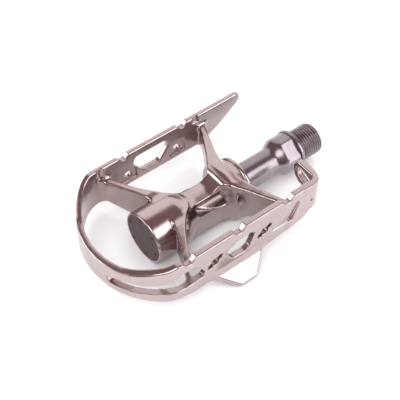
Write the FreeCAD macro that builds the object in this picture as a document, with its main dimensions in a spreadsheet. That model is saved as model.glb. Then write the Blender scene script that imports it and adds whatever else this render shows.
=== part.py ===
import FreeCAD, Part
import Sketcher
import math
import os

# Left-hand quill pedal: a one-piece alloy body (barrel, four arms and cage) that turns on a steel
# spindle with two rows of loose balls.  Frame: origin on the spindle axis at the shoulder that meets
# the crank, +X forwards, +Y outboard along the spindle, +Z up.  Millimetres throughout.

PI = math.pi
doc = FreeCAD.newDocument("quill_pedal")

# --------------------------------------------------------------------------- driving dimensions
SIZES = {
    # spindle
    "thread_radius": 7.14, "thread_length": 12.15, "thread_chamfer": 0.8,
    "shoulder_radius": 9.2, "shoulder_length": 1.6,
    "collar_radius": 8.7, "collar_end": 8.0, "flat_half": 7.5, "flat_angle": 38.0,
    "shank_radius": 6.35, "shank_start": 13.5,
    "core_radius": 4.7, "tail_radius": 4.0, "tail_start": 68.6, "spindle_end": 79.2,
    # bearings
    "ball_radius": 1.984, "pitch_radius": 7.15, "race_gap": 0.03, "ball_count": 11,
    "inner_row": 35.8, "outer_row": 71.6, "cup_radius": 9.9, "cup_bore": 5.9,
    "cone_end": 75.0, "washer_thick": 1.0, "washer_radius": 6.0,
    "nut_end": 78.7, "nut_flat_half": 5.5,
    # barrel and cap
    "barrel_start": 31.0, "barrel_end": 81.5, "barrel_radius": 11.5, "waist_radius": 7.7,
    "waist_start": 49.5, "waist_end": 58.0, "barrel_neck_in": 42.0, "barrel_neck_out": 66.0,
    "bore_radius": 5.5, "seal_seat": 10.2, "seal_start": 30.8, "seal_end": 32.9, "seal_bore": 6.42,
    "cap_radius": 10.9, "cap_plate": 1.3, "cap_thread": 10.2, "cap_skirt": 5.2, "cap_wall": 1.0,
    "cap_hole": 0.65, "cap_hole_circle": 8.7, "cap_hole_count": 6,
    # cage
    "cage_half": 31.4, "cage_wall": 3.0, "cage_top": 16.2, "cage_low": -8.0, "cage_start": 6.0,
    "bow_corner": 14.0, "bow_corner_y": 83.9, "bow_crown": 36.0, "bow_apex": 106.4,
    # fixings
    "clip_hole": 2.6, "clip_first": 41.3, "clip_spacing": 26.0, "clip_height": 3.2,
    "clip_pocket": 4.6, "pocket_depth": 1.1,
    "rear_hole": 2.0, "rear_first": 42.5, "rear_spacing": 25.8, "rear_height": 5.2,
    "notch_half": 2.6, "notch_depth": 3.0,
    # tab that the shoe tips
    "tab_wall": 1.8, "tab_reach": 6.8, "tab_foot": -9.8,
}

sheet = doc.addObject("Spreadsheet::Sheet", "Sheet")
for row, (alias, number) in enumerate(SIZES.items(), start=1):
    sheet.set(f"A{row}", alias)
    sheet.set(f"B{row}", str(number))
    sheet.setAlias(f"B{row}", alias)
doc.recompute()


# --------------------------------------------------------------------------- helpers
def value(terms):
    """Number for a sum of aliases and numbers, such as 'cage_top - notch_depth'."""
    total = 0.0
    sign = 1.0
    for word in str(terms).split():
        if word in ("+", "-"):
            sign = 1.0 if word == "+" else -1.0
            continue
        total += sign * (float(sheet.get(word)) if word[0].isalpha() else float(word))
        sign = 1.0
    return total


def formula(terms):
    """The same sum as an expression on the sheet."""
    words = str(terms).split()
    return " ".join("Sheet." + word if word[0].isalpha() else word for word in words)


def bind(item, **sizes):
    """Bind properties of an object to sums of sheet cells."""
    for name, terms in sizes.items():
        item.setExpression(name, formula(terms))
    return item


def place(item, along_x=0, along_y=0, along_z=0, turn=None):
    """Set an object's placement and bind its three coordinates to the sheet."""
    turn = turn or FreeCAD.Rotation()
    spot = FreeCAD.Vector(value(along_x), value(along_y), value(along_z))
    item.Placement = FreeCAD.Placement(spot, turn)
    for axis, terms in (("x", along_x), ("y", along_y), ("z", along_z)):
        item.setExpression("Placement.Base." + axis, formula(terms))
    return item


def draw(sketch, points):
    """Closed outline of straight edges, each corner held by two named, sheet-bound distances."""
    corners = [FreeCAD.Vector(value(u), value(v), 0) for u, v in points]
    count = len(corners)
    for index, corner in enumerate(corners):
        sketch.addGeometry(Part.LineSegment(corner, corners[(index + 1) % count]), False)
    for index in range(count):
        sketch.addConstraint(Sketcher.Constraint("Coincident", index, 2, (index + 1) % count, 1))
    for index, (u, v) in enumerate(points):
        for kind, label, terms in (("DistanceX", "across", u), ("DistanceY", "up", v)):
            number = value(terms)
            made = sketch.addConstraint(Sketcher.Constraint(kind, -1, 1, index, 1, number))
            sketch.renameConstraint(made, f"{label}{index}")
            if any(word[0].isalpha() for word in str(terms).split()):
                sketch.setExpression(f"Constraints.{label}{index}", formula(terms))
    return sketch


def turned(name, profile):
    """PartDesign body turned about the Y axis from a profile of (radius, station) points."""
    body = doc.addObject("PartDesign::Body", name)
    body.Label = name
    plane = next(item for item in body.Origin.OriginFeatures if item.Role == "XY_Plane")
    sketch = body.newObject("Sketcher::SketchObject", name + "_profile")
    sketch.AttachmentSupport = [(plane, "")]
    sketch.MapMode = "FlatFace"
    draw(sketch, profile)
    turn = body.newObject("PartDesign::Revolution", name + "_turn")
    turn.Profile = sketch
    turn.ReferenceAxis = (sketch, ["V_Axis"])
    turn.Angle = 360.0
    sketch.Visibility = False
    body.Tip = turn
    return body


def extruded(name, points, face, start, length):
    """Straight-sided slab: an outline drawn in the plane across X, Y or Z, pulled along that axis."""
    sketch = doc.addObject("Sketcher::SketchObject", name + "_outline")
    draw(sketch, points)
    turns = {
        "x": FreeCAD.Rotation(FreeCAD.Vector(1, 1, 1), 120),
        "y": FreeCAD.Rotation(FreeCAD.Vector(1, 0, 0), 90),
        "z": FreeCAD.Rotation(),
    }
    place(sketch, turn=turns[face], **{"along_" + face: start})
    slab = doc.addObject("Part::Extrusion", name)
    slab.Base = sketch
    slab.DirMode = "Custom"
    slab.Dir = FreeCAD.Vector(face == "x", face == "y", face == "z")
    slab.Solid = True
    return bind(slab, LengthFwd=length)


def rod(name, radius, length, along_x=0, along_y=0, along_z=0, axis="y"):
    """Cylinder lying along an axis from its start point."""
    item = doc.addObject("Part::Cylinder", name)
    bind(item, Radius=radius, Height=length)
    turns = {
        "x": FreeCAD.Rotation(FreeCAD.Vector(0, 1, 0), 90),
        "y": FreeCAD.Rotation(FreeCAD.Vector(1, 0, 0), -90),
        "z": FreeCAD.Rotation(),
    }
    return place(item, along_x, along_y, along_z, turns[axis])


def block(name, width, depth, height, along_x, along_y, along_z):
    """Box from its lowest corner."""
    item = doc.addObject("Part::Box", name)
    bind(item, Length=width, Width=depth, Height=height)
    return place(item, along_x, along_y, along_z)


def fuse(name, pieces):
    """Union of pieces in one step."""
    item = doc.addObject("Part::MultiFuse", name)
    item.Shapes = pieces
    return item


def join(name, pieces):
    """Union of pieces one after the other, for walls that cross at odd angles."""
    whole = pieces[0]
    for index, piece in enumerate(pieces[1:], start=1):
        item = doc.addObject("Part::Fuse", name if index == len(pieces) - 1 else f"{name}_{index}")
        item.Base = whole
        item.Tool = piece
        whole = item
    return whole


def common(name, pieces):
    """Shared volume of pieces."""
    item = doc.addObject("Part::MultiCommon", name)
    item.Shapes = pieces
    return item


def cut(name, base, tool):
    """Base with the tool taken away."""
    item = doc.addObject("Part::Cut", name)
    item.Base = base
    item.Tool = tool
    return item


def mirrored(name, source):
    """Copy of an object on the other side of the spindle."""
    item = doc.addObject("Part::Mirroring", name)
    item.Source = source
    item.Normal = FreeCAD.Vector(1, 0, 0)
    return item


# --------------------------------------------------------------------------- cage
def cage_core(name, inset):
    """Plan of the cage as a solid: straight sides, two corner arcs and one wide crown arc."""
    half = f"cage_half - {inset}"
    tall = "cage_top - cage_low + 2"
    sides = block(name + "_sides", f"{half} + {half}", "bow_corner_y - cage_start", tall,
                  f"{inset} - cage_half", "cage_start", "cage_low - 1")
    crown = rod(name + "_crown", f"bow_crown - {inset}", tall,
                0, "bow_apex - bow_crown", "cage_low - 1", "z")
    keep = block(name + "_keep", 56.94, 60, tall, -28.47, "bow_corner_y", "cage_low - 1")
    corners = [
        rod(f"{name}_corner_{hand}", f"bow_corner - {inset}", tall,
            terms, "bow_corner_y", "cage_low - 1", "z")
        for hand, terms in (("front", "cage_half - bow_corner"), ("rear", "bow_corner - cage_half"))
    ]
    return fuse(name, [sides, common(name + "_cap", [crown, keep])] + corners)


ring = cut("cage_ring", cage_core("cage_outside", "0"), cage_core("cage_inside", "cage_wall"))

bow_top = [(88, "cage_top"), (94.8, 13.1), (101, 10.0), (108, 8.9)]
bow_foot = [(108, -2.5), (104, -4.3), (88, -4.4)]
rear_side = [(17, "cage_top")] + bow_top + bow_foot + [
    (78, -6.2), (45, -5.9), (28, -4.2), (20, -2.4), (18, -0.9), (17, 1)]
front_side = [(7, "cage_top")] + bow_top + bow_foot + [
    (80, -3.3), (67, -2.3), (31, -2.3), (23.4, -0.2), (17.8, 2.9), (12.2, 7.9), (9.4, 11.2), (6.4, 14.2)]
reach = "cage_half + 1"
rear_keep = extruded("rear_keep", rear_side, "x", "- cage_half - 1", reach)
front_keep = extruded("front_keep", front_side, "x", "0", reach)
cage = common("cage", [ring, fuse("side_views", [rear_keep, front_keep])])

lip_plan = [(-31.4, 18.2), (-31.0, 14.2), (-29.4, 12.2), (-26.6, 11.1), (-18, 11.0), (-16.6, 12.4),
            (-17.2, 14.1), (-27, 14.2), (-28.4, 15.6), (-28.4, 18.2)]
lip_face = [(-32, 17), (-32, 3.5), (-27, 4.6), (-20, 5.2), (-17.3, 7.6), (-15.6, 12), (-17, 15.4), (-19, 17)]
lip_slab = extruded("lip_slab", lip_plan, "z", "3", "cage_top - 3")
lip_shape = extruded("lip_shape", lip_face, "y", "10", "8")
lip = common("lip", [lip_slab, lip_shape])

tab_side = [("tab_wall - cage_half", -4.4), ("- cage_half", -4.4), ("- cage_half - 1.6", -6.4),
            ("- cage_half - tab_reach", "tab_foot + 0.4"), ("- cage_half - tab_reach", "tab_foot - 0.4"),
            ("- cage_half - tab_reach + 1.4", "tab_foot - 0.4"), ("tab_wall - cage_half", -7.0)]
tab_slab = extruded("tab_slab", tab_side, "y", "43", "26")
tab_plan = [(-28, 43.8), (-31.4, 43.8), (-38.3, 51.7), (-38.3, 60.4), (-31.4, 68.2), (-28, 68.2)]
tab = common("tab", [tab_slab, extruded("tab_shape", tab_plan, "z", "tab_foot - 1", "8")])

# --------------------------------------------------------------------------- barrel
barrel_profile = [(0, "barrel_start"), ("barrel_radius - 1", "barrel_start"),
                  ("barrel_radius", "barrel_start + 1"), ("barrel_radius", "barrel_neck_in"),
                  ("waist_radius", "waist_start"), ("waist_radius", "waist_end"),
                  ("barrel_radius", "barrel_neck_out"), ("barrel_radius", "barrel_end - 0.3"),
                  ("barrel_radius - 0.3", "barrel_end"), (0, "barrel_end")]
barrel = turned("barrel_blank", barrel_profile)
bore_profile = [(0, "barrel_start - 1"), ("seal_seat", "barrel_start - 1"), ("seal_seat", "seal_end"),
                ("cup_radius", "seal_end"), ("cup_radius", "inner_row + 3.9"),
                ("bore_radius", "inner_row + 3.9"), ("bore_radius", "outer_row - 3.9"),
                ("cup_radius", "outer_row - 3.9"), ("cup_radius", "barrel_end - cap_skirt - 0.3"),
                ("cap_thread", "barrel_end - cap_skirt - 0.3"), ("cap_thread", "barrel_end - cap_plate"),
                ("cap_radius", "barrel_end - cap_plate"), ("cap_radius", "barrel_end + 1"),
                (0, "barrel_end + 1")]
bore = turned("bore_blank", bore_profile)


# --------------------------------------------------------------------------- arms
def arm(name, sections):
    """Loft through upright rectangles, each (x, low y, high y, low z, high z), from plate to barrel."""
    frames = []
    for index, (across, near, far, low, high) in enumerate(sections):
        sketch = doc.addObject("Sketcher::SketchObject", f"{name}_section{index}")
        draw(sketch, [(near, low), (far, low), (far, high), (near, high)])
        place(sketch, across, turn=FreeCAD.Rotation(FreeCAD.Vector(1, 1, 1), 120))
        frames.append(sketch)
    loft = doc.addObject("Part::Loft", name)
    loft.Sections = frames
    loft.Solid = True
    loft.Ruled = True
    return loft


plate_inside = "cage_half - 1"
arms = [
    arm("outboard_flange", [(plate_inside, 79.3, 82.3, 6.8, 9.3), (16, 71.6, 74.8, 7.8, 9.9),
                            (5, 61.5, 70, 5.6, 9.1)]),
    arm("outboard_web", [(plate_inside, 79.9, 81.8, -2, 7.4), (16, 72.2, 74.2, -6, 8.6),
                         (6, 65.6, 68.8, -7, 6.6)]),
    arm("inboard_flange", [(plate_inside, 25.9, 28.7, 7.0, 9.6), (15, 32.7, 36.8, 8.2, 10.4),
                           (5, 36.8, 43, 6, 11.2)]),
    arm("inboard_web", [(plate_inside, 26.4, 28.3, -1.2, 7.6), (15, 33.8, 35.8, -6, 9),
                        (6, 37.6, 41, -8, 8)]),
]
arms += [mirrored(item.Name + "_rear", item) for item in arms]

# --------------------------------------------------------------------------- openings in the body
wall = "cage_wall + 4"
rear_outside = "- cage_half - 2"
cuts = [
    bore,
    extruded("rear_window", [(74.2, 0.4), (73.5, 2.7), (76.5, 7.5), (78.6, 10.2), (97, 10.2), (97, 0.4)],
             "x", rear_outside, "8.6"),
    extruded("bow_slot", [(-25, 0.4), (-25, 5.4), (-18, 4.9), (-10.7, 3.9), (-7.6, 1.6), (-9, -0.3),
                          (-18, -0.4)], "y", "92", "16"),
    extruded("rear_slot", [(63.3, 6.1), (59, 0.3), (52.6, -0.1), (50.6, 1.2), (47.8, 8.1), (50.5, 9.6),
                           (56.2, 9.5)], "x", rear_outside, wall),
    extruded("front_slot", [(51, 1.6), (59, 1.6), (64.6, 7.4), (64.6, 9.6), (61, 12), (49, 12),
                            (46.6, 9.6), (47, 7)], "x", "cage_half - cage_wall - 2", wall),
    extruded("pocket", [(24.1, 9), (27.5, 1.5), (37.1, 1.3), (38.6, 2.6), (36, 10.8), (25.4, 10.8)],
             "x", "- cage_half - 1", "1.4"),
    rod("lip_hole_high", "2.3", "6", -20.6, "10", 11.6, "y"),
    rod("lip_hole_low", "2.3", "6", -25, "10", 9.4, "y"),
    extruded("lip_hole_mid", [(-21.6, 13.6), (-26, 11.4), (-24, 7.4), (-19.6, 9.6)], "y", "10", "6"),
]
for index in range(2):
    shift = " + clip_spacing" * index
    cuts.append(rod(f"clip_hole_{index + 1}", "clip_hole", wall, "cage_half - cage_wall - 2",
                    "clip_first" + shift, "clip_height", "x"))
    cuts.append(rod(f"clip_pocket_{index + 1}", "clip_pocket", "pocket_depth + 2",
                    "cage_half - cage_wall - 2", "clip_first" + shift, "clip_height", "x"))
    shift = " + rear_spacing" * index
    cuts.append(rod(f"rear_hole_{index + 1}", "rear_hole", wall, rear_outside,
                    "rear_first" + shift, "rear_height", "x"))
for hand, start, stations in (("rear", rear_outside, (30.5, 56.1, 81.2)),
                              ("front", "cage_half - cage_wall - 2", (38.5, 69.5))):
    for station in stations:
        cuts.append(extruded(f"{hand}_notch_{round(station)}",
                             [(f"{station} - notch_half", "cage_top + 1"),
                              (f"{station} - notch_half", "cage_top - notch_depth + 1"),
                              (f"{station} - notch_half + 1.2", "cage_top - notch_depth"),
                              (f"{station} + notch_half - 1.2", "cage_top - notch_depth"),
                              (f"{station} + notch_half", "cage_top - notch_depth + 1"),
                              (f"{station} + notch_half", "cage_top + 1")], "x", start, wall))

body_blank = join("body_blank", [cage, lip, tab, barrel] + arms)
pedal_body = cut("pedal_body", body_blank, fuse("body_cuts", cuts))
pedal_body.Label = "pedal_body"


# --------------------------------------------------------------------------- races
def race(middle, hand, side):
    """Corners of a quarter-round race about a ball at (pitch_radius, middle), from groove to shoulder.

    hand is +1 where the row faces outboard and -1 where it faces inboard; side is "cup" for the
    race outside the balls or "cone" for the race inside them.
    """
    radius = value("ball_radius + race_gap")
    outward = 1 if side == "cup" else -1
    along = -hand * outward
    points = []
    for step in range(7):
        angle = 0.5 * PI * step / 6
        across = outward * radius * math.cos(angle)
        up = along * radius * math.sin(angle)
        points.append((f"pitch_radius + {across:.4f}", f"{middle} + {up:.4f}"))
    return points


def cup(name, middle, hand):
    """Pressed-in cup: a ring whose curved race holds the balls on the barrel's middle side."""
    back = f"{middle} {'-' if hand > 0 else '+'} 3.9"
    front = f"{middle} {'+' if hand > 0 else '-'} 2.5"
    outer = [("cup_radius", back), ("cup_radius", front)]
    lead = [("pitch_radius + ball_radius + race_gap", front)]
    inner = race(middle, hand, "cup")
    return turned(name, outer + lead + inner + [("cup_bore", inner[-1][1]), ("cup_bore", back)])


inner_cup = cup("inner_cup", "inner_row", -1)
outer_cup = cup("outer_cup", "outer_row", 1)

# The inner cone is ground on the spindle; the shank narrows through it to the core.
inner_race = race("inner_row", -1, "cone")
spindle_profile = (
    [(0, "- thread_length"), ("thread_radius - thread_chamfer", "- thread_length"),
     ("thread_radius", "thread_chamfer - thread_length"), ("thread_radius", 0),
     ("shoulder_radius", 0), ("shoulder_radius", "shoulder_length"),
     ("collar_radius", "shoulder_length"), ("collar_radius", "collar_end"),
     ("collar_radius - 0.7", "collar_end + 0.6"), ("shank_radius", "shank_start"),
     ("shank_radius", inner_race[-1][1])]
    + inner_race[::-1]
    + [("pitch_radius - ball_radius - race_gap", "inner_row + 2.6"), ("core_radius", "inner_row + 4.2"),
       ("core_radius", "tail_start - 1"), ("tail_radius", "tail_start"),
       ("tail_radius", "spindle_end - 0.5"), ("tail_radius - 0.5", "spindle_end"), (0, "spindle_end")])
spindle_blank = turned("spindle_blank", spindle_profile)
flats = []
for hand in (0, 1):
    flat = doc.addObject("Part::Box", f"wrench_flat_{hand + 1}")
    bind(flat, Length="4", Width="collar_end - shoulder_length - 0.4", Height="24")
    angle = math.radians(value("flat_angle") + 180 * hand)
    normal = FreeCAD.Vector(-math.sin(angle), 0, math.cos(angle))
    turn = FreeCAD.Rotation(normal, FreeCAD.Vector(0, 1, 0), FreeCAD.Vector(0, 0, 0), "XYZ")
    corner = normal * value("flat_half") - turn.multVec(FreeCAD.Vector(0, 0, 12))
    corner.y = value("shoulder_length + 0.4")
    flat.Placement = FreeCAD.Placement(corner, turn)
    flats.append(flat)
spindle = cut("spindle", spindle_blank, fuse("wrench_flats", flats))
spindle.Label = "spindle"

outer_race = race("outer_row", 1, "cone")
outer_cone = turned("outer_cone", (
    [("tail_radius", "outer_row - 2.4"), ("pitch_radius - ball_radius - race_gap", "outer_row - 2.4")]
    + outer_race + [("pitch_radius", "cone_end"),
                    ("tail_radius", "cone_end")]))
key_washer = turned("key_washer", [
    ("tail_radius", "cone_end"), ("washer_radius", "cone_end"),
    ("washer_radius", "cone_end + washer_thick"), ("tail_radius", "cone_end + washer_thick")])

nut_side = []
for corner in range(6):
    angle = PI * (corner / 3 + 1 / 6)
    span = value("nut_flat_half") / math.cos(PI / 6)
    nut_side.append((round(span * math.cos(angle), 4), round(span * math.sin(angle), 4)))
nut_blank = extruded("nut_blank", nut_side, "y", "cone_end + washer_thick",
                     "nut_end - cone_end - washer_thick")
lock_nut = cut("lock_nut", nut_blank, rod("nut_bore", "tail_radius", "10", 0, "cone_end", 0))
lock_nut.Label = "lock_nut"

inner_seal = turned("inner_seal", [
    ("seal_bore", "seal_start"), ("seal_bore + 0.8", "seal_start - 0.3"), ("seal_seat", "seal_start - 0.3"),
    ("seal_seat", "seal_end"), ("seal_bore", "seal_end")])

cap_blank = turned("cap_blank", [
    (0, "barrel_end - cap_plate - 0.6"), ("cap_thread - cap_wall", "barrel_end - cap_plate - 0.6"),
    ("cap_thread - cap_wall", "barrel_end - cap_skirt"), ("cap_thread", "barrel_end - cap_skirt"),
    ("cap_thread", "barrel_end - cap_plate"), ("cap_radius", "barrel_end - cap_plate"),
    ("cap_radius", "barrel_end - 0.1"), ("cap_radius - 0.1", "barrel_end"), (0, "barrel_end")])
cap_holes = []
for number in range(int(value("cap_hole_count"))):
    angle = 2 * PI * number / value("cap_hole_count")
    across = value("cap_hole_circle") * math.cos(angle)
    up = value("cap_hole_circle") * math.sin(angle)
    cap_holes.append(rod(f"cap_hole_{number + 1}", "cap_hole", "cap_plate",
                         f"{across:.4f}", "barrel_end - 1", f"{up:.4f}"))
dust_cap = cut("dust_cap", cap_blank, fuse("cap_drillings", cap_holes))
dust_cap.Label = "dust_cap"

# --------------------------------------------------------------------------- balls
nodes = [pedal_body, spindle, inner_cup, outer_cup, outer_cone, key_washer, lock_nut, inner_seal, dust_cap]
for row_name in ("inner", "outer"):
    for number in range(int(value("ball_count"))):
        ball = doc.addObject("Part::Sphere", f"{row_name}_ball_{number + 1:02d}")
        ball.Label = ball.Name
        bind(ball, Radius="ball_radius")
        angle = 360.0 * number / value("ball_count")
        place(ball, 0, row_name + "_row", 0)
        ball.setExpression("Placement.Base.x", f"Sheet.pitch_radius * cos({angle:.6f} deg)")
        ball.setExpression("Placement.Base.z", f"Sheet.pitch_radius * sin({angle:.6f} deg)")
        nodes.append(ball)

# --------------------------------------------------------------------------- check and write
doc.recompute()
for item in doc.Objects:
    if "Invalid" in item.State or "Error" in item.State:
        raise RuntimeError(f"{item.Label} failed: {item.State}")

os.makedirs("parts", exist_ok=True)
for node in nodes:
    shape = node.Shape
    if shape.isNull() or not shape.isValid() or len(shape.Solids) != 1:
        raise RuntimeError(f"{node.Label} has a bad shape with {len(shape.Solids)} solids")
    shape.exportStep(f"parts/{node.Label}.step")
    box = shape.BoundBox
    print(f"{node.Label}: {shape.Volume:.1f} mm3, x {box.XMin:.1f}..{box.XMax:.1f}, "
          f"y {box.YMin:.1f}..{box.YMax:.1f}, z {box.ZMin:.1f}..{box.ZMax:.1f}")
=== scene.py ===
import logging
import math
from dataclasses import dataclass, field
from enum import Enum
from typing import Callable, Iterable, Sequence

import bmesh
import bpy
import numpy as np
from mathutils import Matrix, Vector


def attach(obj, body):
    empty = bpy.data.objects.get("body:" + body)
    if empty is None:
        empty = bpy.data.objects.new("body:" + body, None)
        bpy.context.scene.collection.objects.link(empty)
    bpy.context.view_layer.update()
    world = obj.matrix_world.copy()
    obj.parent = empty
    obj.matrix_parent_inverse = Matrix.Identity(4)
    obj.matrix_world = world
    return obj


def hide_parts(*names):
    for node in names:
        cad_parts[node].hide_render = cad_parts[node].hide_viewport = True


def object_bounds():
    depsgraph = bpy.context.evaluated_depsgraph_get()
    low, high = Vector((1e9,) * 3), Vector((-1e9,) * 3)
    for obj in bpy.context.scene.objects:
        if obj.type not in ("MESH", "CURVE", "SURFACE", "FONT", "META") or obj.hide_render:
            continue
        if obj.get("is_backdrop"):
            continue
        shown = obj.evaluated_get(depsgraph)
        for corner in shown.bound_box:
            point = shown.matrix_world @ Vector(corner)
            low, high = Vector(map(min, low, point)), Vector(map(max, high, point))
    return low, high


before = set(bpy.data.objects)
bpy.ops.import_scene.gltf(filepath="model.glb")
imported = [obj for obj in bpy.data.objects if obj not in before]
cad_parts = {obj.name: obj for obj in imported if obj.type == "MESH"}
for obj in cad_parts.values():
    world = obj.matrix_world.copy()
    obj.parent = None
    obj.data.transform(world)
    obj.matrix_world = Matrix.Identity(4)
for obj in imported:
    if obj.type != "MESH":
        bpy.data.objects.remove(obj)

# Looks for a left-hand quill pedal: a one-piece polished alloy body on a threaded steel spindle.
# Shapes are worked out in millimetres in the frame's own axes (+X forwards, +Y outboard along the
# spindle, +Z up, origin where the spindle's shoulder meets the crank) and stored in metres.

import openvdb
from mathutils import Matrix, Vector

LOG = logging.getLogger("quill_pedal")
MM = 0.001

Array = np.ndarray
Point = tuple[float, float]
Colour = Sequence[float] | bpy.types.NodeSocket


class Axis(Enum):
    """An axis of the frame, as the index of its coordinate."""

    X = 0
    Y = 1
    Z = 2


# ------------------------------------------------------------------ distance fields
def blend_min(first: Array, second: Array, reach: float | Array) -> Array:
    """Union of two distance fields with a fillet where they meet.

    Args:
        first: Distances to one solid, negative inside.
        second: Distances to the other solid.
        reach: Width of the fillet, in millimetres, the same all over or one for each place.

    Returns:
        Distances to the joined solid.
    """
    weight = np.clip(0.5 + 0.5 * (second - first) / reach, 0.0, 1.0)
    return second + (first - second) * weight - reach * weight * (1.0 - weight)


def blend_max(first: Array, second: Array, reach: float) -> Array:
    """Shared volume of two distance fields with its edge eased by reach millimetres."""
    return -blend_min(-first, -second, reach)


def carve(solid: Array, tool: Array, reach: float) -> Array:
    """Solid with a tool taken away, its edge eased by reach millimetres."""
    return blend_max(solid, -tool, reach)


def ease(values: Array, start: float, end: float) -> Array:
    """Smooth step from 0 at start to 1 at end."""
    share = np.clip((values - start) / (end - start), 0.0, 1.0)
    return share * share * (3.0 - 2.0 * share)


def flat_distance(across: Array, up: Array, outline: Sequence[Point]) -> Array:
    """Signed distance in a plane to a closed outline.

    Args:
        across: First coordinate of each place in the plane.
        up: Second coordinate of each place.
        outline: Corners of the outline, in order.

    Returns:
        Distances, negative inside the outline.
    """
    nearest = np.full(np.broadcast(across, up).shape, 1.0e9, dtype=np.float32)
    inside = np.zeros(nearest.shape, dtype=bool)
    for (ax, ay), (bx, by) in zip(outline, list(outline[1:]) + [outline[0]]):
        run, rise = bx - ax, by - ay
        from_x, from_y = across - ax, up - ay
        length = run * run + rise * rise + 1e-12
        share = np.clip((from_x * run + from_y * rise) / length, 0.0, 1.0)
        gap = (from_x - share * run) ** 2 + (from_y - share * rise) ** 2
        nearest = np.minimum(nearest, gap)
        if abs(rise) > 1e-9:
            crosses = (up >= min(ay, by)) & (up < max(ay, by))
            inside ^= crosses & (across < ax + from_y * run / rise)
    return np.where(inside, -1.0, 1.0).astype(np.float32) * np.sqrt(nearest)


def softened(outline: Sequence[Point], radius: float, steps: int = 5) -> list[Point]:
    """Outline with each corner turned into a tangent arc.

    Args:
        outline: Corners of the outline, in order.
        radius: Wanted radius; a corner between short edges gets a smaller one.
        steps: Points along each arc, less one.

    Returns:
        The new outline.
    """
    corners = [Vector(point) for point in outline]
    made: list[Point] = []
    for index, corner in enumerate(corners):
        back = corners[index - 1] - corner
        ahead = corners[(index + 1) % len(corners)] - corner
        half = back.angle(ahead) / 2.0
        reach = min(radius / math.tan(half), 0.48 * back.length, 0.48 * ahead.length)
        size = reach * math.tan(half)
        bisector = (back.normalized() + ahead.normalized()).normalized()
        centre = corner + bisector * (size / math.sin(half))
        start = corner + back.normalized() * reach - centre
        end = corner + ahead.normalized() * reach - centre
        for step in range(steps + 1):
            ray = start.lerp(end, step / steps)
            made.append(tuple(centre + ray.normalized() * size))
    return made


@dataclass
class Block:
    """A box of sample points in which solids are described by distance fields.

    Attributes:
        low: Lowest corner, in millimetres.
        high: Highest corner, in millimetres.
        step: Distance between samples, in millimetres.
    """

    low: tuple[float, float, float]
    high: tuple[float, float, float]
    step: float
    x: Array = field(init=False)
    y: Array = field(init=False)
    z: Array = field(init=False)

    def __post_init__(self) -> None:
        """Lay out the sample coordinates along each axis."""
        lines = [np.arange(a, b + self.step, self.step, dtype=np.float32)
                 for a, b in zip(self.low, self.high)]
        self.x = lines[0][:, None, None]
        self.y = lines[1][None, :, None]
        self.z = lines[2][None, None, :]

    def prism(self, axis: Axis, outline: Sequence[Point]) -> Array:
        """Distance to an endless prism along an axis.

        Args:
            axis: The prism's axis.
            outline: Its section, in the other two coordinates in X, Y, Z order.

        Returns:
            Distances, thin along the prism's axis.
        """
        planes = {Axis.X: (self.y, self.z), Axis.Y: (self.x, self.z), Axis.Z: (self.x, self.y)}
        across, up = planes[axis]
        return flat_distance(*np.broadcast_arrays(across, up), outline)

    def bar(self, axis: Axis, centre: Point, radius: float) -> Array:
        """Distance to an endless round bar along an axis, through a centre in the other two."""
        planes = {Axis.X: (self.y, self.z), Axis.Y: (self.x, self.z), Axis.Z: (self.x, self.y)}
        across, up = planes[axis]
        return np.hypot(across - centre[0], up - centre[1]) - radius

    def slab(self, axis: Axis, start: float, end: float) -> Array:
        """Distance to the space between two planes across an axis."""
        line = (self.x, self.y, self.z)[axis.value]
        return np.abs(line - 0.5 * (start + end)) - 0.5 * (end - start)

    def mesh(self, name: str, distances: Array) -> bpy.types.Object:
        """Turn a distance field into a smooth closed mesh.

        Args:
            name: Name of the new object.
            distances: Signed distances at every sample, in millimetres.

        Returns:
            The object, with its mesh in metres.
        """
        whole = np.broadcast_to(distances, (self.x.size, self.y.size, self.z.size))
        scaled = np.clip(whole / self.step, -3.0, 3.0).astype(np.float32)
        grid = openvdb.FloatGrid(3.0)
        grid.copyFromArray(np.ascontiguousarray(scaled))
        points, quads = grid.convertToQuads(0.0)
        places = (points * self.step + np.array(self.low, dtype=np.float32)) * MM
        return mesh_object(name, places, quads[:, ::-1])


# ------------------------------------------------------------------ mesh helpers
def mesh_object(name: str, places: Array, faces: Iterable[Sequence[int]]) -> bpy.types.Object:
    """Object with a smooth-shaded mesh.

    Args:
        name: Name of the object and its mesh.
        places: Vertex places in metres.
        faces: Vertex indices of each face.

    Returns:
        The object, linked into the scene.
    """
    mesh = bpy.data.meshes.new(name)
    mesh.from_pydata(np.asarray(places).tolist(), [], [list(map(int, face)) for face in faces])
    mesh.validate()
    mesh.polygons.foreach_set("use_smooth", [True] * len(mesh.polygons))
    item = bpy.data.objects.new(name, mesh)
    bpy.context.scene.collection.objects.link(item)
    return item


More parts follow.
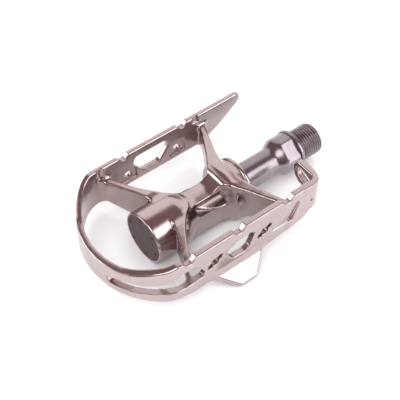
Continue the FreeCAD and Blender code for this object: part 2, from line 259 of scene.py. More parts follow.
def lathe(
    name: str,
    profile: Sequence[tuple[float, float]],
    radius_at: Callable[[Array, Array, Array], Array] | None = None,
    segments: int = 128,
) -> bpy.types.Object:
    """Closed mesh turned about the Y axis.

    Args:
        name: Name of the object.
        profile: (station, radius) pairs in millimetres, from one end to the other; a first and
            last radius of 0 close the ends, otherwise the profile closes on itself as a ring.
        radius_at: Optional change of radius from (angle, station, radius).
        segments: Points round the axis.

    Returns:
        The object.
    """
    stations = np.array([p[0] for p in profile], dtype=float)
    radii = np.array([p[1] for p in profile], dtype=float)
    ring = radii[0] > 0.0
    angles = np.linspace(0.0, 2.0 * math.pi, segments, endpoint=False)
    turn, line = np.meshgrid(angles, stations)
    reach = np.repeat(radii[:, None], segments, axis=1)
    if radius_at is not None:
        reach = radius_at(turn, line, reach)
    places = np.stack([reach * np.cos(turn), line, reach * np.sin(turn)], axis=-1)
    rows = len(profile)
    faces: list[list[int]] = []
    body_rows = range(rows) if ring else range(1, rows - 2)
    for row in body_rows:
        above = (row + 1) % rows
        for column in range(segments):
            beside = (column + 1) % segments
            faces.append([row * segments + column, row * segments + beside,
                          above * segments + beside, above * segments + column])
    points = places.reshape(-1, 3)
    if not ring:
        for row, hub, order in ((1, 0, 1), (rows - 2, rows - 1, -1)):
            for column in range(segments):
                beside = (column + 1) % segments
                corner = [hub * segments, row * segments + beside, row * segments + column]
                faces.append(corner[::order])
    item = mesh_object(name, points * MM, faces)
    tidy_mesh(item)
    return item


def tidy_mesh(item: bpy.types.Object, angle: float = 35.0) -> None:
    """Merge doubled points, turn the faces outwards and keep edges over an angle crisp."""
    work = bmesh.new()
    work.from_mesh(item.data)
    bmesh.ops.remove_doubles(work, verts=work.verts, dist=1e-7)
    loose = [vert for vert in work.verts if not vert.link_faces]
    bmesh.ops.delete(work, geom=loose, context="VERTS")
    bmesh.ops.recalc_face_normals(work, faces=work.faces)
    for edge in work.edges:
        if len(edge.link_faces) == 2 and edge.calc_face_angle(0.0) > math.radians(angle):
            edge.smooth = False
    work.to_mesh(item.data)
    work.free()


# ------------------------------------------------------------------ finishes
class NodePen:
    """Short-hand for building a material's nodes in order."""

    def __init__(self, name: str) -> None:
        """Start a material called name, with its shader and object coordinates ready."""
        self.material = bpy.data.materials.new(name)
        self.material.use_nodes = True
        self.tree = self.material.node_tree
        self.shader = self.tree.nodes["Principled BSDF"]
        self.place = self.tree.nodes.new("ShaderNodeTexCoord").outputs["Object"]

    def stretched(self, scale: tuple[float, float, float]) -> bpy.types.NodeSocket:
        """Object coordinates scaled along each axis."""
        node = self.tree.nodes.new("ShaderNodeMapping")
        node.inputs["Scale"].default_value = scale
        self.tree.links.new(self.place, node.inputs["Vector"])
        return node.outputs["Vector"]

    def noise(self, scale: float, detail: float = 3.0,
              vector: bpy.types.NodeSocket | None = None) -> bpy.types.NodeSocket:
        """Noise of a given scale per metre."""
        node = self.tree.nodes.new("ShaderNodeTexNoise")
        node.inputs["Scale"].default_value = scale
        node.inputs["Detail"].default_value = detail
        self.tree.links.new(vector or self.place, node.inputs["Vector"])
        return node.outputs["Fac"]

    def ramp(self, value: bpy.types.NodeSocket, low: float, high: float,
             low_out: float, high_out: float) -> bpy.types.NodeSocket:
        """Map a value from one range to another, clamped."""
        node = self.tree.nodes.new("ShaderNodeMapRange")
        for label, number in (("From Min", low), ("From Max", high),
                              ("To Min", low_out), ("To Max", high_out)):
            node.inputs[label].default_value = number
        self.tree.links.new(value, node.inputs["Value"])
        return node.outputs["Result"]

    def openness(self, reach: float) -> bpy.types.NodeSocket:
        """Share of open space that the piece itself leaves free within a reach in metres."""
        node = self.tree.nodes.new("ShaderNodeAmbientOcclusion")
        node.samples = 8
        node.only_local = True
        node.inputs["Distance"].default_value = reach
        return node.outputs["AO"]

    def mix(self, share: bpy.types.NodeSocket, first: Colour,
            second: Colour) -> bpy.types.NodeSocket:
        """Mix two colours, fixed or from sockets, by a share."""
        node = self.tree.nodes.new("ShaderNodeMix")
        node.data_type = "RGBA"
        for place, colour in ((6, first), (7, second)):
            if isinstance(colour, bpy.types.NodeSocket):
                self.tree.links.new(colour, node.inputs[place])
            else:
                node.inputs[place].default_value = (*colour, 1.0)
        self.tree.links.new(share, node.inputs[0])
        return node.outputs[2]

    def bump(self, height: bpy.types.NodeSocket, strength: float, distance: float) -> None:
        """Bump on the shader from a height."""
        node = self.tree.nodes.new("ShaderNodeBump")
        node.inputs["Strength"].default_value = strength
        node.inputs["Distance"].default_value = distance
        self.tree.links.new(height, node.inputs["Height"])
        self.tree.links.new(node.outputs["Normal"], self.shader.inputs["Normal"])

    def feed(self, source: bpy.types.NodeSocket, label: str) -> None:
        """Link a socket to one of the shader's inputs."""
        self.tree.links.new(source, self.shader.inputs[label])


@dataclass(frozen=True)
class PolishedAlloy:
    """Polished cast alloy with a warm tone, faint polishing marks and painted shade in its corners.
    """

    tone: tuple[float, float, float] = (0.475, 0.395, 0.39)
    worn: tuple[float, float, float] = (0.51, 0.43, 0.425)
    # Colour of the painted shade in the casting's corners, darker and redder than the metal.
    corner: tuple[float, float, float] = (0.31, 0.215, 0.217)
    roughness: tuple[float, float] = (0.18, 0.27)

    def material(self) -> bpy.types.Material:
        """Material of the finish."""
        pen = NodePen("polished_alloy")
        pen.shader.inputs["Metallic"].default_value = 1.0
        cloud = pen.noise(180.0, 4.0)
        marks = pen.noise(900.0, 3.0, pen.stretched((1.0, 0.25, 1.0)))
        polished = pen.mix(pen.ramp(cloud, 0.35, 0.65, 0.0, 1.0), self.tone, self.worn)
        # Painted shade: where the casting closes in the space round itself within 35 mm, the base
        # colour turns to the dark red corner colour. This stands in for the dim reflections in the
        # webs and inner corners.
        unshaded_share = pen.ramp(pen.openness(0.035), 0.35, 0.9, 0.0, 1.0)
        pen.feed(pen.mix(unshaded_share, self.corner, polished), "Base Color")
        pen.feed(pen.ramp(marks, 0.3, 0.7, *self.roughness), "Roughness")
        pen.bump(pen.noise(420.0, 2.0), 0.10, 0.0002)
        return pen.material


@dataclass(frozen=True)
class PlatedSteel:
    """Bright plated steel with fine turning marks round the spindle."""

    tone: tuple[float, float, float] = (0.33, 0.285, 0.31)
    roughness: tuple[float, float] = (0.27, 0.285)

    def material(self) -> bpy.types.Material:
        """Material of the finish."""
        pen = NodePen("plated_steel")
        pen.shader.inputs["Metallic"].default_value = 1.0
        rings = pen.noise(1.0, 4.0, pen.stretched((60.0, 5000.0, 60.0)))
        cloud = pen.noise(260.0)
        darker = tuple(0.86 * part for part in self.tone)
        pen.feed(pen.mix(pen.ramp(cloud, 0.35, 0.65, 0.0, 1.0), self.tone, darker), "Base Color")
        pen.feed(pen.ramp(rings, 0.3, 0.7, *self.roughness), "Roughness")
        pen.bump(rings, 0.004, 0.00004)
        return pen.material


@dataclass(frozen=True)
class GroundSteel:
    """Ground bearing steel."""

    name: str = "ground_steel"
    tone: tuple[float, float, float] = (0.42, 0.42, 0.44)
    roughness: tuple[float, float] = (0.2, 0.35)

    def material(self) -> bpy.types.Material:
        """Material of the finish."""
        pen = NodePen(self.name)
        pen.shader.inputs["Metallic"].default_value = 1.0
        lay = pen.noise(1.0, 3.0, pen.stretched((200.0, 6000.0, 200.0)))
        darker = tuple(0.8 * part for part in self.tone)
        pen.feed(pen.mix(lay, self.tone, darker), "Base Color")
        pen.feed(pen.ramp(lay, 0.3, 0.7, *self.roughness), "Roughness")
        pen.bump(lay, 0.05, 0.00005)
        return pen.material


@dataclass(frozen=True)
class Moulded:
    """Moulded plastic or rubber with a fine grain."""

    name: str
    tone: tuple[float, float, float]
    roughness: tuple[float, float]
    specular: float = 0.5

    def material(self) -> bpy.types.Material:
        """Material of the finish."""
        pen = NodePen(self.name)
        pen.shader.inputs["Specular IOR Level"].default_value = self.specular
        grain = pen.noise(2600.0, 2.0)
        cloud = pen.noise(320.0)
        paler = tuple(1.25 * part for part in self.tone)
        pen.feed(pen.mix(pen.ramp(cloud, 0.35, 0.65, 0.0, 1.0), self.tone, paler), "Base Color")
        pen.feed(pen.ramp(cloud, 0.3, 0.7, *self.roughness), "Roughness")
        pen.bump(grain, 0.15, 0.00008)
        return pen.material


def dress(item: bpy.types.Object, material: bpy.types.Material) -> None:
    """Put one material on every face of an object."""
    item.data.materials.clear()
    item.data.materials.append(material)


# ------------------------------------------------------------------ studio
@dataclass
class Studio:
    """Camera, floor and lights.

    Attributes:
        eye: Camera place in millimetres.
        heading: Turn of the view direction from +Y towards +X, in degrees.
        dip: Angle of the view below the horizon, in degrees.
        roll: Turn of the camera about its view direction, in degrees.
        lens: Focal length for a 36 mm sensor.
        aim: Place that the soft boxes face, in metres.
        paper: Colour of the floor.
        room: Colour of the room round the pedal.
    """

    eye: tuple[float, float, float] = (-231.24, 237.61, 349.91)
    heading: float = 128.808
    dip: float = 49.501
    roll: float = 0.533
    lens: float = 97.99
    aim: tuple[float, float, float] = (0.0, 0.05, 0.0)
    paper: tuple[float, float, float] = (0.93, 0.92, 0.93)
    room: tuple[float, float, float] = (0.27, 0.16, 0.16)

    def camera(self) -> None:
        """Create the scene's camera."""
        turn, tilt, lean = map(math.radians, (self.heading, self.dip, self.roll))
        ahead = Vector((math.sin(turn) * math.cos(tilt), math.cos(turn) * math.cos(tilt),
                        -math.sin(tilt)))
        level = Vector((math.cos(turn), -math.sin(turn), 0.0))
        upright = level.cross(ahead)
        right = math.cos(lean) * level + math.sin(lean) * upright
        top = math.cos(lean) * upright - math.sin(lean) * level
        data = bpy.data.cameras.new("camera")
        data.lens = self.lens
        data.sensor_width = 36.0
        data.clip_start = 0.01
        item = bpy.data.objects.new("camera", data)
        axes = Matrix((right, top, -ahead)).transposed().to_4x4()
        item.matrix_world = Matrix.Translation(Vector(self.eye) * MM) @ axes
        bpy.context.scene.collection.objects.link(item)
        bpy.context.scene.camera = item

    def floor(self, height: float) -> None:
        """Lay a pale floor at a height in metres."""
        half = 3.0
        corners = ((-half, -half), (half, -half), (half, half), (-half, half))
        places = [(across, along, height) for across, along in corners]
        item = mesh_object("floor", np.array(places), [[0, 1, 2, 3]])
        pen = NodePen("floor_paper")
        pen.shader.inputs["Base Color"].default_value = (*self.paper, 1.0)
        pen.shader.inputs["Roughness"].default_value = 0.9
        pen.shader.inputs["Specular IOR Level"].default_value = 0.1
        dress(item, pen.material)
        item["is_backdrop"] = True

    def lamp(self, name: str, place: tuple[float, float, float], size: tuple[float, float],
             power: float, colour: tuple[float, float, float]) -> bpy.types.Object:
        """Hang a soft box that faces the pedal.

        Args:
            name: Name of the light.
            place: Where it hangs, in metres.
            size: Its two sides, in metres.
            power: Its power in watts.
            colour: Its colour.

        Returns:
            The light.
        """
        data = bpy.data.lights.new(name, "AREA")
        data.shape = "RECTANGLE"
        data.size, data.size_y = size
        data.energy = power
        data.color = colour
        item = bpy.data.objects.new(name, data)
        item.location = place
        item.rotation_mode = "QUATERNION"
        item.rotation_quaternion = (Vector(self.aim) - Vector(place)).to_track_quat("-Z", "Y")
        bpy.context.scene.collection.objects.link(item)
        return item

    def sky(self) -> None:
        """Surround the pedal with a dim warm room."""
        world = bpy.data.worlds.new("room")
        world.use_nodes = True
        back = world.node_tree.nodes["Background"]
        back.inputs["Color"].default_value = (*self.room, 1.0)
        back.inputs["Strength"].default_value = 1.0
        bpy.context.scene.world = world
        bpy.context.scene.view_settings.view_transform = "Standard"

    def build(self, floor_height: float) -> None:
        """Set up everything round the pedal, with the floor at a height in metres."""
        self.camera()
        self.floor(floor_height)
        self.sky()
        self.lamp("back_panel", (0.79, -0.70, 0.50), (2.0, 1.56), 10.0, (0.96, 1.0, 1.0))
        self.lamp("side_box", (-0.92, -0.44, 0.60), (0.9, 1.17), 10.0, (0.93, 0.97, 1.0))
        self.lamp("edge_box", (-0.30, 0.72, 0.91), (0.75, 0.65), 5.4, (0.97, 1.0, 1.0))
        self.lamp("low_box", (0.62, 0.96, 0.32), (0.8, 0.5), 4.4, (1.0, 1.0, 1.0))
        wash = self.lamp("wash", (0.0, 0.05, 1.4), (1.6, 1.6), 16.0, (0.88, 1.0, 1.0))
        wash.visible_glossy = False


# ------------------------------------------------------------------ the casting
@dataclass
class Arm:
    """One of the four arms, as values along its length from the barrel to the plate.

    Attributes:
        across: Distances from the spindle axis.
        middle: Stations of the arm's centre line.
        half: Half the width of its top flange.
        top: Height of its top.
        foot: Height of the bottom of its web.
        flange: Thickness of the top flange.
        web: Least half-thickness of the web.
        set_back: How far the web stays inside the flange's edge.
        slant: Factor that turns a distance along the spindle into one square to the arm.
    """

    across: Sequence[float]
    middle: Sequence[float]
    half: Sequence[float]
    top: Sequence[float]
    foot: Sequence[float]
    flange: float = 1.7
    web: float = 0.95
    set_back: float = 0.45
    slant: float = 0.86

    def fields(self, block: Block) -> tuple[Array, Array]:
        """Distances to the arm's top flange and to its upright web, with their mirror images."""
        out = np.abs(block.x)
        middle, half, top, foot = (
            np.interp(out, self.across, values).astype(np.float32)
            for values in (self.middle, self.half, self.top, self.foot)
        )
        aside = (np.abs(block.y - middle) - half) * self.slant
        depth = np.abs(block.z - top + 0.5 * self.flange) - 0.5 * self.flange
        flange = blend_max(aside, depth, 1.0)
        thickness = np.maximum(self.web, half - self.set_back)
        rib = (np.abs(block.y - middle) - thickness) * self.slant
        return flange, blend_max(rib, np.maximum(block.z - top + 0.6, foot - block.z), 0.5)


@dataclass
class PedalBody:
    """The one-piece casting: cage plates, quill loop, arms, barrel, lip and tab.

    All sizes are in millimetres; outlines are (station, height) unless they say otherwise.

    Attributes:
        waist_in: Stations between which the barrel narrows to its waist.
        waist_out: Stations between which it widens again.
        groove_depth: Depth of the groove round the barrel's inboard mouth, and half its width.
        ramp: Stations between which the saddle drops from the inboard arms.
        ramp_rise: Height of that drop.
        curtain_run: Station where the curtain's top edge starts to climb, and how far it climbs.
        mean_wall: Mean thickness of the two plates.
        wall_change: How much thicker than that the rear plate is, and how much thinner the front.
        tab_reach: Furthest that the tab reaches to the rear.
        clip_hole: Height and radius of the holes through the rear plate.
        lobe_offset: Step from such a hole to each of its two lobes, along and down.
        nut_hole: Height and radius of the holes through the front plate.
        nut_floor: Distance from the axis to the floor of the nut pockets.
        inset: Margin by which the casting stays inside its outer sizes.
        tube_fillet: Fillet between the webs and the barrel.
        root_fillet: What is added to that fillet at the inboard arms' roots.
    """

    step: float = 0.3
    block_low: tuple[float, float, float] = (-39.2, 5.2, -12.4)
    block_high: tuple[float, float, float] = (32.4, 107.4, 17.2)
    half_width: float = 31.4
    cage_top: float = 16.2
    corner_radius: float = 14.0
    corner_station: float = 83.9
    crown_radius: float = 36.0
    apex: float = 106.4
    barrel_start: float = 31.0
    barrel_end: float = 81.5
    barrel_radius: float = 11.5
    barrel_edge: float = 1.1
    waist_radius: float = 7.6
    waist_in: Point = (40.2, 44.0)
    waist_out: Point = (55.5, 66.5)
    groove_depth: float = 0.4
    groove_offset: float = 2.2
    saddle_half: float = 4.2
    ramp: Point = (42.0, 50.2)
    ramp_rise: float = 3.6
    curtain_radius: float = 8.25
    curtain_foot: float = -7.2
    curtain_run: Point = (42.0, 18.5)
    mean_wall: float = 2.85
    wall_change: float = 0.35
    plate_edge: float = 0.95
    recess_depth: float = 0.36
    recess_top: float = 15.5
    tab_station: float = 56.0
    tab_half: float = 12.3
    tab_reach: float = 38.15
    clip_holes: Point = (68.3, 42.5)
    clip_hole: Point = (5.2, 2.05)
    lobe_offset: Point = (2.4, 1.5)
    lobe_radius: float = 1.3
    nut_stations: Point = (67.3, 41.3)
    nut_hole: Point = (3.2, 1.75)
    nut_floor: float = 29.6
    rear_notches: tuple[float, ...] = (30.5, 56.1, 81.2)
    front_notches: tuple[float, ...] = (38.5, 69.5)
    inset: float = 0.04
    lip_fillet: float = 0.6
    tab_fillet: float = 1.6
    plate_fillet: float = 2.0
    web_fillet: float = 5.0
    saddle_fillet: float = 2.2
    arm_fillet: float = 2.0
    tube_fillet: float = 0.8
    root_fillet: float = 3.4
    flange_fillet: float = 1.6
    barrel_fillet: float = 1.8
    cut_edge: float = 0.2
    bore_edge: float = 0.3
    bow_top: tuple[Point, ...] = ((87, 16.2), (94.8, 13.1), (101, 10.0), (110, 8.9))
    bow_foot: tuple[Point, ...] = ((110, -2.4), (104, -4.2), (88, -4.4))
    outboard_arm: Arm = field(default_factory=lambda: Arm(
        across=(0, 4.8, 6.1, 10.4, 15.5, 21, 27.5, 34),
        middle=(64.5, 66.3, 67.2, 69.9, 72.9, 75.9, 79.2, 81.5),
        half=(4.2, 3.7, 3.4, 2.4, 1.6, 1.4, 1.5, 1.6),
        top=(7.6, 8.8, 9.4, 10.1, 9.9, 9.5, 9.3, 9.3),
        foot=(-7, -7, -7, -6.6, -6.0, -4.6, -3.0, -2.4)))
    inboard_arm: Arm = field(default_factory=lambda: Arm(
        across=(0, 5, 8.2, 12.7, 18.9, 24.8, 28.6, 34),
        middle=(39.9, 39.9, 38.4, 35.9, 32.75, 29.8, 28.2, 26.0),
        half=(3.0, 2.9, 2.75, 2.2, 1.75, 1.35, 1.4, 1.5),
        top=(11.4, 11.2, 11.1, 10.7, 10.0, 9.6, 9.6, 9.6),
        foot=(-8, -8, -7.5, -6.5, -4.5, -2.6, -1.6, -1.0)))

    def plan(self, block: Block) -> Array:
        """Distance in plan to the cage's outer line: straight sides, corner arcs, wide crown."""
        crown_y = self.apex - self.crown_radius
        corner_x = self.half_width - self.corner_radius
        meet = math.atan2(self.corner_station - crown_y, corner_x)
        side = [(self.half_width, -30.0)]
        for step in range(11):
            angle = meet * step / 10
            side.append((corner_x + self.corner_radius * math.cos(angle),
                         self.corner_station + self.corner_radius * math.sin(angle)))
        for step in range(1, 17):
            angle = meet + (math.pi / 2 - meet) * step / 16
            side.append((self.crown_radius * math.cos(angle),
                         crown_y + self.crown_radius * math.sin(angle)))
        outline = side + [(-x, y) for x, y in reversed(side[:-1])]
        return block.prism(Axis.Z, outline)

    def cage(self, block: Block) -> Array:
        """Distance to the plates and the quill loop, before their windows are cut."""
        outer = self.plan(block)
        wall = self.mean_wall - self.wall_change * np.clip(block.x / 20.0, -1.0, 1.0)
        ring = np.abs(outer + 0.5 * wall) - 0.5 * wall
        rear = softened([(17.0, self.cage_top), *self.bow_top, *self.bow_foot, (78, -6.1),
                         (45, -5.9), (28, -4.2), (20.4, -2.4), (17.0, 0.6)], 1.2)
        front = softened([(8.6, self.cage_top), *self.bow_top, *self.bow_foot, (80, -3.3),
                          (67, -2.4), (31, -2.3), (23.4, -0.2), (17.8, 3.0), (11.8, 7.5),
                          (8.2, 10.4), (6.4, 12.4), (6.2, 14.2), (7.0, 15.6)], 2.6)
        sides = np.where(block.x < 0.0, block.prism(Axis.X, rear), block.prism(Axis.X, front))
        cage = blend_max(ring, sides, self.plate_edge)
        floor = block.x + self.half_width - self.recess_depth
        recess = np.maximum(floor, block.z - self.recess_top)
        recess = np.maximum(recess, block.slab(Axis.Y, 17.0, 92.0))
        return carve(cage, recess, 0.1)

    def barrel(self, block: Block) -> Array:
        """Distance to the waisted barrel, with a ring groove near its inboard mouth."""
        neck = ease(block.y, *self.waist_in) * (1.0 - ease(block.y, *self.waist_out))
        radius = self.barrel_radius - (self.barrel_radius - self.waist_radius) * neck
        along = block.y - self.barrel_start - self.groove_offset
        groove = self.groove_depth * np.exp(-(along / self.groove_depth) ** 2)
        tube = (np.hypot(block.x, block.z) - radius + groove) * 0.93
        length = block.slab(Axis.Y, self.barrel_start, self.barrel_end)
        return blend_max(tube, length, self.barrel_edge)

    def saddle(self, block: Block) -> Array:
        """Distance to the flat-topped bridge over the waist, ramped up to the inboard arms."""
        top = self.waist_radius + self.ramp_rise * (1.0 - ease(block.y, *self.ramp))
        inboard_flare = 2.4 * (1.0 - ease(block.y, 41.5, 45.5))
        outboard_flare = 1.6 * ease(block.y, 57.5, 62.5)
        half = self.saddle_half + inboard_flare + outboard_flare
        body = blend_max(block.z - top, np.abs(block.x) - half, 0.3)
        return np.maximum(np.maximum(body * 0.9, 2.0 - block.z), block.slab(Axis.Y, 40.5, 64.0))

    def curtain(self, block: Block) -> Array:
        """Distance to the upright walls beside the waist, whose top edge climbs outboard."""
        start, run = self.curtain_run
        top = 1.0 + 6.4 * (np.clip((block.y - start) / run, 0.0, 1.2)) ** 1.6
        bulge = np.hypot(block.x, np.maximum(block.z, 0.0)) - self.curtain_radius
        wall = np.maximum(bulge, 5.4 - np.hypot(block.x, 0.6 * block.z))
        wall = blend_max(wall, np.maximum(block.z - top, self.curtain_foot - block.z), 0.25)
        return np.maximum(wall, block.slab(Axis.Y, 40.0, 65.0)) * 0.93

    def bores(self, block: Block) -> Array:
        """Distance to the space inside the barrel: seal seat, cup seats, passage and cap seat."""
        around = np.hypot(block.x, block.z)
        steps = ((self.barrel_start - 3, 32.9, 10.22), (32.0, 39.7, 9.92), (39.0, 68.0, 5.5),
                 (67.7, 76.3, 9.92), (76.0, 80.3, 10.22), (80.2, self.barrel_end + 3, 10.72))
        space = None
        for start, end, radius in steps:
            piece = np.maximum(around - radius, block.slab(Axis.Y, start, end))
            space = piece if space is None else np.minimum(space, piece)
        return space

    def lip(self, block: Block) -> Array:
        """Distance to the strap that curls forwards from the rear plate's inboard end."""
        strap = block.prism(Axis.Z, softened([
            (-31.4, 22.0), (-31.4, 16.6), (-31.0, 14.6), (-29.9, 13.1), (-28.2, 12.0),
            (-26.0, 11.3), (-22.0, 11.0), (-15.2, 11.2), (-15.2, 14.2), (-27.2, 14.3),
            (-28.5, 15.8), (-28.5, 22.0)], 1.0))
        face = block.prism(Axis.Y, softened([
            (-36, 16.2), (-36, -1.0), (-31.0, 1.2), (-27, 3.9), (-19.4, 5.0), (-16.6, 7.6),
            (-15.4, 12.4), (-17.4, 16.2)], 2.4))
        body = blend_max(strap, face, 0.8)
        hole = block.prism(Axis.Y, softened([
            (-28.0, 6.2), (-23.6, 6.4), (-17.9, 9.3), (-17.5, 12.8), (-20.2, 14.2),
            (-27.2, 10.9)], 1.9))
        hole = np.maximum(hole, block.x + 17.0)
        return carve(body, np.maximum(hole, block.slab(Axis.Y, 9.0, 16.0)), 0.7)

    def tab(self, block: Block) -> Array:
        """Distance to the flared tab that the shoe tips up."""
        places = ((-30.4, -3.6), (-31.2, -5.2), (-33.0, -6.6), (-37.4, -9.4))
        sheet = None
        for (ax, az), (bx, bz) in zip(places, places[1:]):
            run, rise = bx - ax, bz - az
            share = ((block.x - ax) * run + (block.z - az) * rise) / (run * run + rise * rise)
            share = np.clip(share, 0.0, 1.0)
            gap = np.hypot(block.x - ax - share * run, block.z - az - share * rise) - 0.8
            sheet = gap if sheet is None else blend_min(sheet, gap, 0.3)
        width = self.tab_half - 1.155 * np.clip(-31.2 - block.x, -1.5, 8.0)
        return blend_max(sheet, (np.abs(block.y - self.tab_station) - width) * 0.66, 0.5)

    def windows(self, block: Block) -> list[Array]:
        """Distances to everything cut through or into the cage."""
        rear = block.slab(Axis.X, -36.0, -22.0)
        outside = block.slab(Axis.X, -36.0, 1.9 - self.half_width)
        front = block.slab(Axis.X, 24.0, 36.0)
        recess = block.slab(Axis.X, 24.0, self.nut_floor)
        cuts = [
            np.maximum(rear, block.prism(Axis.X, softened([
                (74.2, 0.6), (73.4, 2.9), (76.4, 7.6), (79.0, 10.3), (86, 10.3), (91.5, 7.3),
                (98, 5.4), (98, 0.3), (90, 0.8), (84, 0.4)], 1.0))),
            np.maximum(block.slab(Axis.Y, 92.0, 109.0), block.prism(Axis.Y, softened([
                (-27, 0.3), (-27, 5.6), (-18, 5.0), (-10.7, 3.8), (-7.4, 1.8), (-9.0, -0.3),
                (-18, -0.4)], 0.8))),
            np.maximum(rear, block.prism(Axis.X, softened([
                (63.5, 6.3), (59, 0.3), (52.6, -0.2), (50.2, 1.6), (47.6, 8.1), (50.3, 9.8),
                (56.2, 9.7)], 1.2))),
            np.maximum(front, block.prism(Axis.X, softened([
                (51, 1.6), (59.5, 1.6), (64.8, 7.8), (63.6, 12), (47.6, 12), (46.2, 8.4)], 2.2))),
        ]
        height, radius = self.clip_hole
        for station in self.clip_holes:
            cuts.append(np.maximum(rear, block.bar(Axis.X, (station, height), radius)))
            for hand in (-1, 1):
                middle = (station + self.lobe_offset[0] * hand, height - self.lobe_offset[1] * hand)
                lobe = block.bar(Axis.X, middle, self.lobe_radius)
                cuts.append(np.maximum(outside, lobe))
        height, radius = self.nut_hole
        for station in self.nut_stations:
            cuts.append(np.maximum(front, block.bar(Axis.X, (station, height), radius)))
            cuts.append(np.maximum(recess, block.prism(Axis.X, softened([
                (station - 4.4, 0.4), (station + 4.0, 0.0), (station + 5.0, 4.6),
                (station + 1.4, 8.2), (station - 3.6, 7.0)], 1.0))))
        dimple = block.bar(Axis.X, (17.4, 6.8), 0.6)
        cuts.append(np.maximum(block.slab(Axis.X, -36.0, -30.4), dimple))
        floor_depth = 1.35 - 0.05 * np.clip(block.y - 26.0, 0.0, 20.0)
        pocket = block.prism(Axis.X, softened([(23.9, 9.4), (27.5, 1.4), (38.4, 1.3), (38.4, 11.0),
                                              (24.6, 11.0)], 0.5))
        fade = floor_depth - 0.05 * np.clip(block.z - 1.5, 0.0, 12.0)
        cuts.append(np.maximum(pocket, block.x + self.half_width - fade))
        for station, low in ((81.8, 9.9), (31.4, 12.8)):
            scallop = block.bar(Axis.Z, (27.2, station), 2.5)
            cuts.append(np.maximum(scallop, low - block.z))
        return cuts

    def notches(self, block: Block) -> list[Array]:
        """Distances to the shallow notches along the top of both plates."""
        made = []
        slope = 1.9
        rows = ((-1, self.rear_notches, 2.6, 3.2), (1, self.front_notches, 2.1, 2.8))
        for hand, stations, depth, half in rows:
            side = block.slab(Axis.X, *sorted((hand * 27.6, hand * 36.0)))
            low = self.cage_top - depth
            for station in stations:
                shape = softened([
                    (station - half - 2.0, self.cage_top + 2), (station - half, self.cage_top),
                    (station - half + slope, low), (station + half - slope, low),
                    (station + half, self.cage_top),
                    (station + half + 2.0, self.cage_top + 2)], 0.4)
                made.append(np.maximum(side, block.prism(Axis.X, shape)))
        return made

    def build(self) -> bpy.types.Object:
        """Make the casting's mesh."""
        block = Block(self.block_low, self.block_high, self.step)
        cage = blend_min(self.cage(block), self.lip(block), self.lip_fillet)
        cage = blend_min(cage, self.tab(block), self.tab_fillet)
        inside = self.plan(block) + 1.0
        outboard_flange, outboard_web = self.outboard_arm.fields(block)
        inboard_flange, inboard_web = self.inboard_arm.fields(block)
        tube = self.barrel(block)
        webs = np.minimum(outboard_web, inboard_web)
        webs = blend_min(webs, self.curtain(block), self.web_fillet)
        bridge = blend_min(outboard_flange, self.saddle(block), self.saddle_fillet)
        flanges = blend_min(bridge, inboard_flange, self.arm_fillet)
        fillet = self.tube_fillet + self.root_fillet * (1.0 - ease(block.y, 40.5, 43.0))
        spider = blend_min(blend_min(webs, tube, fillet), flanges, self.flange_fillet)
        collar = blend_min(outboard_flange, tube, self.barrel_fillet)
        spider = blend_min(spider, collar, 0.3)
        solid = blend_min(cage, np.maximum(spider, inside), self.plate_fillet)
        for cut in self.windows(block) + self.notches(block):
            solid = carve(solid, cut, self.cut_edge)
        solid = carve(solid, self.bores(block), self.bore_edge)
        room = block.slab(Axis.X, -self.tab_reach, self.half_width - self.inset)
        room = np.maximum(room, block.y - self.apex + self.inset)
        lowest, highest = self.inset - self.barrel_radius, self.cage_top - self.inset
        room = np.maximum(room, block.slab(Axis.Z, lowest, highest))
        return block.mesh("cast_body", np.maximum(solid, room))


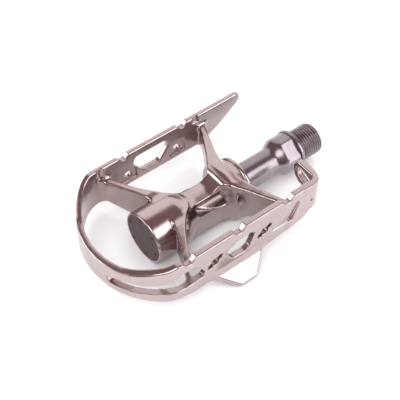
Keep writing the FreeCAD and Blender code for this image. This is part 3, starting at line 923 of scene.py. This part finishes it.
# ------------------------------------------------------------------ the spindle
@dataclass
class Spindle:
    """Steel spindle with a left-hand thread, shoulder, wrench flats and shank (millimetres)."""

    crest: float = 7.14
    root: float = 6.35
    pitch: float = 1.27
    thread_end: float = -12.12
    shoulder: float = 9.18
    collar: float = 8.68
    flat_half: float = 7.5
    flat_angle: float = 128.0
    shank: float = 6.35

    def profile(self) -> list[tuple[float, float]]:
        """Stations and radii from the threaded end to the tail."""
        points = [(self.thread_end, 0.0), (self.thread_end, 5.9), (self.thread_end + 0.15, 6.15)]
        line = self.thread_end + 0.25
        while line < -1.15:
            points.append((line, self.crest))
            line += 0.07
        points += [(-1.1, 6.5), (-0.95, 6.35), (-0.25, 6.35), (0.0, 6.6),
                   (0.0, self.shoulder - 0.25), (0.08, self.shoulder - 0.08), (0.25, self.shoulder),
                   (1.35, self.shoulder), (1.52, self.shoulder - 0.08), (1.6, self.shoulder - 0.25)]
        points += [(1.62, self.collar - 0.35), (1.95, self.collar - 0.2), (2.1, self.collar)]
        points += [(station, self.collar) for station in (2.4, 3.4, 4.5, 5.6, 6.7, 7.6)]
        for step in range(13):
            share = step / 12
            left = 1.0 - ease(np.array(share), 0.0, 1.0)
            radius = self.shank + (self.collar - self.shank) * left
            points.append((7.8 + 5.8 * share, float(radius)))
        points += [(14.5, self.shank), (20.0, self.shank), (26.0, self.shank), (33.6, self.shank)]
        points += [(33.8, 7.1), (34.1, 6.2), (34.8, 5.45), (35.8, 5.12), (38.4, 5.12), (40.0, 4.7),
                   (67.6, 4.7), (68.6, 3.98), (78.7, 3.98), (79.15, 3.5), (79.15, 0.0)]
        return points

    def radius_at(self, angle: Array, station: Array, radius: Array) -> Array:
        """Cut the left-hand thread and the two wrench flats into the turned surface.

        Args:
            angle: Angle of each point about the axis.
            station: Station of each point.
            radius: Turned radius of each point.

        Returns:
            Radii after the thread and the flats.
        """
        phase = (station - self.pitch * angle / (2.0 * math.pi)) / self.pitch
        tooth = (0.5 - 0.5 * np.cos(2.0 * math.pi * phase)) ** 0.8
        lead = ease(station, self.thread_end + 0.1, self.thread_end + 1.3)
        tip = self.root + (self.crest - self.root) * np.minimum(lead + 0.05, 1.0)
        threaded = np.minimum(self.root + (self.crest - self.root) * tooth, tip)
        in_thread = (station > self.thread_end + 0.2) & (station < -1.12)
        radius = np.where(in_thread, threaded, radius)
        swing = np.cos(angle - math.radians(self.flat_angle))
        flat = self.flat_half / np.maximum(np.abs(swing), 0.2)
        on_flats = (station > 2.0) & (station < 8.6)
        return np.where(on_flats, np.minimum(radius, flat), radius)

    def build(self) -> bpy.types.Object:
        """Make the spindle's mesh."""
        return lathe("threaded_spindle", self.profile(), self.radius_at, 192)


# ------------------------------------------------------------------ small pieces
@dataclass
class DustCap:
    """Dark moulded cap with pin holes round its rim (millimetres)."""

    face: float = 81.42
    radius: float = 10.66
    plate: float = 1.2
    skirt: float = 10.15
    skirt_end: float = 76.4
    hole: float = 0.6
    hole_circle: float = 8.7
    holes: int = 6
    step: float = 0.16

    def build(self) -> bpy.types.Object:
        """Make the cap's mesh."""
        low, high = (-11.0, self.skirt_end - 0.5, -11.0), (11.0, self.face + 0.6, 11.0)
        block = Block(low, high, self.step)
        around = np.hypot(block.x, block.z)
        disc = block.slab(Axis.Y, self.face - self.plate, self.face)
        disc = blend_max(around - self.radius, disc, 0.3)
        wall = np.maximum(np.abs(around - self.skirt + 0.5) - 0.5,
                          block.slab(Axis.Y, self.skirt_end, self.face - 0.5))
        cap = np.minimum(disc, wall)
        for ring in (6.9, 3.4):
            groove = np.hypot(around - ring, block.y - self.face) - 0.17
            cap = carve(cap, groove, 0.12)
        for number in range(self.holes):
            angle = 2.0 * math.pi * (number + 0.3) / self.holes
            spot = (self.hole_circle * math.cos(angle), self.hole_circle * math.sin(angle))
            pin = np.maximum(block.bar(Axis.Y, spot, self.hole),
                             block.slab(Axis.Y, self.face - 0.9, self.face + 2.0))
            cap = carve(cap, pin, 0.12)
        return block.mesh("screw_cap", cap)


@dataclass
class LipSeal:
    """Rubber seal in the barrel's inboard mouth (millimetres)."""

    start: float = 30.55
    end: float = 32.85
    seat: float = 10.15
    bore: float = 6.42

    def build(self) -> bpy.types.Object:
        """Make the seal's mesh."""
        profile = [(self.end, self.seat), (self.start + 0.6, self.seat), (self.start + 0.25, 9.7),
                   (self.start, 9.1), (self.start, 8.5), (self.start + 0.3, 8.2),
                   (self.start + 0.3, 7.5),
                   (self.start, 7.2), (self.start, 6.8), (self.start + 0.3, self.bore),
                   (self.start + 0.8, self.bore), (self.end, 6.9)]
        return lathe("lip_seal", profile, None, 128)


@dataclass
class Bearings:
    """Hidden bearing pieces, carried over from the frame and given their own finishes."""

    steel: tuple[str, ...] = ("inner_cup", "outer_cup", "outer_cone", "key_washer", "lock_nut")

    def dress(self, ground: bpy.types.Material, bright: bpy.types.Material) -> None:
        """Finish the races, washer and nut in ground steel and the balls in bright steel."""
        for name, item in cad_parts.items():
            if name in self.steel:
                dress(item, ground)
            elif "_ball_" in name:
                dress(item, bright)


def main() -> None:
    """Build every piece in order and report it."""
    low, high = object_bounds()
    Studio().build(low.z - 0.0001)

    alloy = PolishedAlloy().material()
    steel = PlatedSteel().material()
    ground = GroundSteel().material()
    bright = GroundSteel("bright_ball_steel", (0.62, 0.62, 0.64), (0.05, 0.12)).material()
    cap_finish = Moulded("cap_plastic", (0.062, 0.036, 0.036), (0.4, 0.55), 0.3).material()
    rubber = Moulded("seal_rubber", (0.02, 0.018, 0.018), (0.55, 0.75), 0.3).material()

    makers = (
        (PedalBody(), "pedal", "pedal_body", "polished_alloy", alloy),
        (Spindle(), "spindle", "spindle", "axle_steel", steel),
        (DustCap(), "pedal", "dust_cap", "cap_plastic", cap_finish),
        (LipSeal(), "pedal", "inner_seal", "seal_rubber", rubber),
    )
    for maker, body, node, slot, material in makers:
        piece = maker.build()
        dress(piece, material)
        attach(piece, body)
        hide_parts(node)
        LOG.info("%s: %d faces, rides on %s", piece.name, len(piece.data.polygons), body)
    Bearings().dress(ground, bright)
    LOG.info("bearings: finished %d carried-over pieces", len(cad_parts) - len(makers))

    low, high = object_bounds()


if __name__ == "__main__":
    logging.basicConfig(level=logging.INFO, format="%(name)s: %(message)s")
    main()
